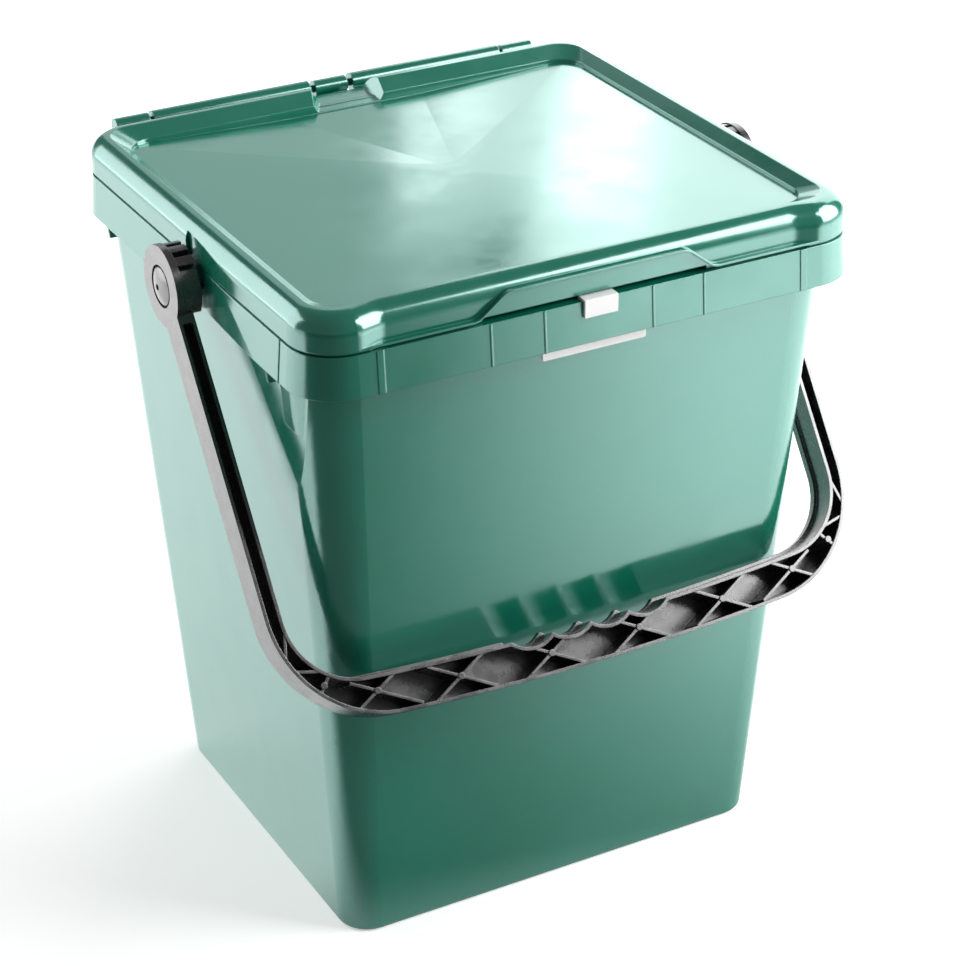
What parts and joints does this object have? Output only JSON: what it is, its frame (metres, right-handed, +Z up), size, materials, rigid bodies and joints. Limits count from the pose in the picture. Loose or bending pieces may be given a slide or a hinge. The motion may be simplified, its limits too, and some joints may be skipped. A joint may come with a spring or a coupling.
{
  "type": "stackable recycling bin",
  "caption": "Tapered kitchen recycling caddy with a hinged stacking lid, a ribbed swing-over carrying handle and a tag clip on the front rim.",
  "frame": {"origin": "centre of the flat underside of the tub", "axes": "+Z up, +X to the right along the front, -Y towards the front with the finger lip, +Y towards the lid hinge"},
  "size_m": [0.3338, 0.3007, 0.368],
  "materials": {
    "bin_green": "smooth moulded plastic, fairly glossy",
    "handle_black": "satin moulded plastic",
    "pin_green": "smooth",
    "clip_white": "smooth, slightly satin"
  },
  "bodies": {
    "tub": {"tub": "bin_green", "left_pivot_stud": "handle_black", "right_pivot_stud": "handle_black", "left_hinge_pin": "pin_green", "right_hinge_pin": "pin_green", "tag_clip": "clip_white"},
    "lid": {"lid": "bin_green"},
    "handle": {"bail_handle": "handle_black"}
  },
  "joints": [
    {"name": "lid_hinge", "type": "hinge", "parent": "tub", "child": "lid", "pos_m": [0, 0.1485, 0.3605], "axis": [-1, 0, 0], "range_deg": [0, 260]},
    {"name": "handle_swing", "type": "hinge", "parent": "tub", "child": "handle", "pos_m": [0, -0.004, 0.338], "axis": [-1, 0, 0], "range_deg": [0, 286]}
  ]
}
